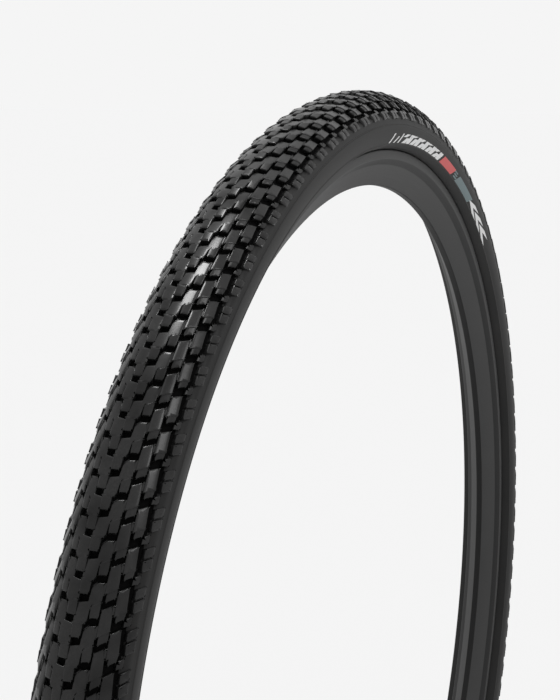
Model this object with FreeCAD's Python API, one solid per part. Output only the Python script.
import FreeCAD, Part
import math
import os

# Trekking tyre, inflated and seated on a plain hoop. Millimetres, wheel centre at the origin,
# spin axis along +Y, +Z up. The left side is +Y and the right side is -Y.

# Overall sizes
beadSeatDiameter = 622.0
sectionHeight = 40.0
tyreWidth = 42.0

# Layers, from the tread inwards
knobHeight = 2.3
capThickness = 1.2
beltThickness = 0.8
casingThickness = 0.9
layerGap = 0.3
treadEdgeAngle = 86.0
beltHalfAngle = 40.0
lowerTurnAngle = 118.0
innerTurnAngle = 100.0
hiddenFlatAngle = 20.0
casingTurnRise = 1.5

# Tread pattern
nominalPitch = 17.0
blockDraft = 0.25
blockSeatGap = 0.1
shoulderRise = 0.35
shoulderAngle = 60.0

# One row of blocks: the section angles of its inner and outer edge, the place of its gap along
# the pitch, the gap's length, and the slant of the gap along the tread per millimetre across it
treadRows = {
    "centre_blocks": (1.1, 12.1, 5.6, 2.8, -0.1),
    "inner_blocks": (13.9, 28.1, 14.6, 2.5, -0.35),
    "rib_blocks": (31.9, 43.9, 5.8, 1.9, -0.6),
    "edge_blocks": (45.7, 57.8, 15.2, 2.0, -0.5),
    "shoulder_blocks": (62.8, 75.3, 11.8, 7.3, -0.4),
}

# Beads
beadCoreSize = 2.6
rimStripThickness = 0.7
turnUpHeight = 6.5

# Hoop
hoopWidth = 26.6
hoopDepth = 14.7
flangeHeight = 6.3
flangeThickness = 2.8
seatWidth = 4.6
wellDepth = 2.6
wellSlope = 1.2
cheekHeight = 5.3
cheekTurnIn = 3.6
cheekTurnDrop = 3.4
landHalfWidth = 2.0

# Printed transfers on the right sidewall: where each starts round the wheel, how far it runs,
# and the two section angles that it lies between
transferThickness = 0.2
transferGap = 0.15
transferSpans = {
    "transfer_wordmark": (72.5, 17.0, 99.0, 113.0),
    "transfer_accent": (66.0, 5.2, 98.0, 114.0),
    "transfer_panel": (58.3, 5.4, 98.0, 114.0),
    "transfer_emblem": (49.5, 7.4, 98.0, 115.0),
}

seatRadius = beadSeatDiameter / 2
crownRadius = seatRadius + sectionHeight
sectionRadius = tyreWidth / 2
sectionCentre = crownRadius - sectionRadius
layerCentre = sectionCentre - knobHeight
treadEdgeRadius = sectionCentre + sectionRadius * math.cos(math.radians(treadEdgeAngle))
flangeRadius = seatRadius + flangeHeight
halfHoop = hoopWidth / 2
pitchCount = 2 * round(math.pi * crownRadius / nominalPitch)
pitch = 2 * math.pi * crownRadius / pitchCount
pitchAngle = 360.0 / pitchCount

# The layers under the blocks share one section centre, below the outline's by a block's height
capInner = sectionRadius - capThickness
beltOuter = capInner - layerGap
casingRadius = beltOuter - beltThickness - layerGap

# Half widths of the layers that stand inside the hoop's flange
stripOuter = halfHoop - flangeThickness - layerGap
casingOuter = stripOuter - rimStripThickness - layerGap
coreOuter = casingOuter - casingThickness - layerGap
turnUpOuter = coreOuter - beadCoreSize - layerGap
beadBase = seatRadius + layerGap
casingTurn = flangeRadius + casingTurnRise

origin = FreeCAD.Vector(0, 0, 0)
spinAxis = FreeCAD.Vector(0, 1, 0)


# A point of the section plane: distance from the spin axis, and distance to one side
def at(radius, across):
    return FreeCAD.Vector(radius, across, 0)


# A point of a section circle, by its angle from the crown
def onCircle(centre, radius, degrees):
    angle = math.radians(degrees)
    return at(centre + radius * math.cos(angle), radius * math.sin(angle))


# The section angle at which a circle reaches a distance from the spin axis
def angleAt(centre, radius, distance):
    return math.degrees(math.acos((distance - centre) / radius))


# An arc of a section circle between two angles
def sectionArc(centre, radius, first, last):
    points = [onCircle(centre, radius, angle) for angle in (first, (first + last) / 2, last)]
    return Part.Arc(*points).toShape()


# Straight edges from each point to the next
def chain(*points):
    return [Part.makeLine(first, last) for first, last in zip(points, points[1:])]


# A hidden layer's round stretch, laid out in equal flats between two angles
def sectionFlats(centre, radius, first, last):
    count = math.ceil(abs(last - first) / hiddenFlatAngle)
    step = (last - first) / count
    return chain(*[onCircle(centre, radius, first + index * step) for index in range(count + 1)])


# A closed section turned round the spin axis
def ring(edges, sweep=360):
    section = Part.Wire(Part.sortEdges(edges)[0])
    return Part.Face(section).revolve(origin, spinAxis, sweep)


# The same piece on the other side of the wheel's middle plane
def mirrored(shape):
    return shape.mirror(origin, spinAxis)


# The two short edges that close a curved layer between its outer and inner circle
def layerEnds(centre, outer, inner, *angles):
    edges = []
    for angle in angles:
        edges += chain(onCircle(centre, outer, angle), onCircle(centre, inner, angle))
    return edges


def makeTreadCap():
    edge = angleAt(layerCentre, sectionRadius, treadEdgeRadius)
    edges = [
        sectionArc(layerCentre, sectionRadius, -edge, edge),
        sectionArc(layerCentre, capInner, -edge, edge),
    ]
    edges += layerEnds(layerCentre, sectionRadius, capInner, -edge, edge)
    return ring(edges)


def makeBelt():
    inner = beltOuter - beltThickness
    edges = sectionFlats(layerCentre, beltOuter, -beltHalfAngle, beltHalfAngle)
    edges += sectionFlats(layerCentre, inner, -beltHalfAngle, beltHalfAngle)
    edges += layerEnds(layerCentre, beltOuter, inner, -beltHalfAngle, beltHalfAngle)
    return ring(edges)


# One ply from bead to bead, turned up round each bead core
def makeCasing():
    inner = casingRadius - casingThickness
    edges = sectionFlats(layerCentre, casingRadius, -innerTurnAngle, innerTurnAngle)
    edges += sectionFlats(layerCentre, inner, -innerTurnAngle, innerTurnAngle)
    for side in (1, -1):
        outerSide = [
            onCircle(layerCentre, casingRadius, side * innerTurnAngle),
            at(casingTurn, side * casingOuter),
            at(beadBase, side * casingOuter),
            at(beadBase, side * (turnUpOuter - casingThickness)),
            at(seatRadius + turnUpHeight, side * (turnUpOuter - casingThickness)),
            at(seatRadius + turnUpHeight, side * turnUpOuter),
            at(beadBase + casingThickness, side * turnUpOuter),
            at(beadBase + casingThickness, side * (casingOuter - casingThickness)),
            at(casingTurn + casingThickness, side * (casingOuter - casingThickness)),
            onCircle(layerCentre, inner, side * innerTurnAngle),
        ]
        edges += chain(*outerSide)
    return ring(edges)


# Rubber wall from the tread's edge down to the hoop's flange, thicker where it meets the flange
def makeSidewall():
    innerRadius = casingRadius + layerGap
    top = treadEdgeRadius - layerGap
    outerTop = angleAt(sectionCentre, sectionRadius, top)
    innerTop = angleAt(layerCentre, innerRadius, top)
    outerEnd = onCircle(sectionCentre, sectionRadius, lowerTurnAngle)
    innerEnd = onCircle(layerCentre, innerRadius, innerTurnAngle)
    casingBend = onCircle(layerCentre, casingRadius, innerTurnAngle)
    slope = (casingBend.x - casingTurn) / (casingBend.y - casingOuter)
    foot = flangeRadius + layerGap
    footInner = stripOuter + layerGap
    footTop = innerEnd.x - slope * (innerEnd.y - footInner)

    edges = [sectionArc(sectionCentre, sectionRadius, outerTop, lowerTurnAngle)]
    edges += chain(outerEnd, at(foot, halfHoop), at(foot, footInner), at(footTop, footInner), innerEnd)
    edges += sectionFlats(layerCentre, innerRadius, innerTop, innerTurnAngle)
    edges += chain(
        onCircle(layerCentre, innerRadius, innerTop),
        onCircle(sectionCentre, sectionRadius, outerTop),
    )
    return ring(edges)


# Strip of chafer cloth between the casing and the hoop's flange
def makeRimStrip():
    inner = stripOuter - rimStripThickness
    top = flangeRadius + layerGap
    corners = [at(beadBase, inner), at(beadBase, stripOuter), at(top, stripOuter), at(top, inner)]
    return ring(chain(*corners, corners[0]))


# Bundle of bead wire held in the fold of the casing
def makeBeadCore():
    low = beadBase + casingThickness + layerGap
    inner = coreOuter - beadCoreSize
    corners = [
        at(low, inner),
        at(low, coreOuter),
        at(low + beadCoreSize, coreOuter),
        at(low + beadCoreSize, inner),
    ]
    return ring(chain(*corners, corners[0]))


# Hoop: two flanges, bead seats with a well between them, straight cheeks, and flanks that
# close to a narrow land on the inside
def makeHoop():
    landRadius = seatRadius - hoopDepth
    flangeInner = halfHoop - flangeThickness
    wellEdge = flangeInner - seatWidth
    cheekEnd = flangeRadius - cheekHeight
    edges = chain(at(landRadius, -landHalfWidth), at(landRadius, landHalfWidth))
    edges += chain(
        at(seatRadius - wellDepth, wellSlope - wellEdge),
        at(seatRadius - wellDepth, wellEdge - wellSlope),
    )
    for side in (1, -1):
        flankStart = at(cheekEnd - cheekTurnDrop, side * (halfHoop - cheekTurnIn))
        flankEnd = at(landRadius, side * landHalfWidth)
        edges += chain(
            at(seatRadius - wellDepth, side * (wellEdge - wellSlope)),
            at(seatRadius, side * wellEdge),
            at(seatRadius, side * flangeInner),
            at(flangeRadius, side * flangeInner),
            at(flangeRadius, side * halfHoop),
            at(cheekEnd, side * halfHoop),
            flankStart,
            flankEnd,
        )
    return ring(edges)


# One tread block, centred at the start of the pitch. Its top follows the tyre's outline and its
# base the floor of the tread, both flat, with the walls leaning out towards the base
def makeBlock(innerAngle, outerAngle, gapLength, slant):
    middle = (innerAngle + outerAngle) / 2
    width = math.radians(outerAngle - innerAngle) * sectionRadius
    localScale = onCircle(sectionCentre, sectionRadius, middle).x / crownRadius
    halfLength = (pitch - gapLength) / 2 * localScale

    def outline(centre, radius, grow):
        corners = []
        for edge, ends in ((-1, (-1, 1)), (1, (1, -1))):
            across = edge * (width / 2 + grow)
            flank = onCircle(centre, radius, -middle - math.degrees(across / sectionRadius))
            for end in ends:
                along = slant * across + end * (halfLength + grow)
                corners.append(flank + FreeCAD.Vector(0, 0, along))
        return Part.makePolygon(corners + corners[:1])

    chordDrop = (width + 2 * blockDraft) ** 2 / (8 * sectionRadius)
    rise = shoulderRise if middle > shoulderAngle else 0
    top = outline(sectionCentre, sectionRadius + rise, 0)
    base = outline(layerCentre, sectionRadius + chordDrop + blockSeatGap, blockDraft)
    return Part.makeLoft([base, top], True, True)


# The same block at every pitch, on the right side or, mirrored and half a pitch on, the left
def makeBlockRow(innerAngle, outerAngle, gapPlace, gapLength, slant, left):
    block = makeBlock(innerAngle, outerAngle, gapLength, slant)
    start = gapPlace / pitch + 0.5
    if left:
        block = mirrored(block)
        start += 0.5
    blocks = []
    for index in range(pitchCount):
        copy = block.copy()
        copy.rotate(origin, spinAxis, -(start + index) * pitchAngle)
        blocks.append(copy)
    return Part.makeCompound(blocks)


# A thin printed patch that lies on the right sidewall
def makeTransfer(start, sweep, first, last):
    inner = sectionRadius + transferGap
    outer = inner + transferThickness
    edges = [sectionArc(sectionCentre, outer, -last, -first)]
    edges += [sectionArc(sectionCentre, inner, -last, -first)]
    edges += layerEnds(sectionCentre, outer, inner, -last, -first)
    patch = ring(edges, -sweep)
    patch.rotate(origin, spinAxis, -start)
    return patch


def makeNodes():
    nodes = {
        "tread_cap": makeTreadCap(),
        "puncture_belt": makeBelt(),
        "casing_ply": makeCasing(),
        "hoop": makeHoop(),
    }
    paired = {
        "sidewall": makeSidewall(),
        "rim_strip": makeRimStrip(),
        "bead_core": makeBeadCore(),
    }
    for name, shape in paired.items():
        nodes[name + "_left"] = shape
        nodes[name + "_right"] = mirrored(shape)
    for name, sizes in treadRows.items():
        nodes[name + "_right"] = makeBlockRow(*sizes, False)
        nodes[name + "_left"] = makeBlockRow(*sizes, True)
    for name, span in transferSpans.items():
        nodes[name] = makeTransfer(*span)
    return nodes


os.makedirs("parts", exist_ok=True)
for name, shape in makeNodes().items():
    shape.exportStep("parts/" + name + ".step")
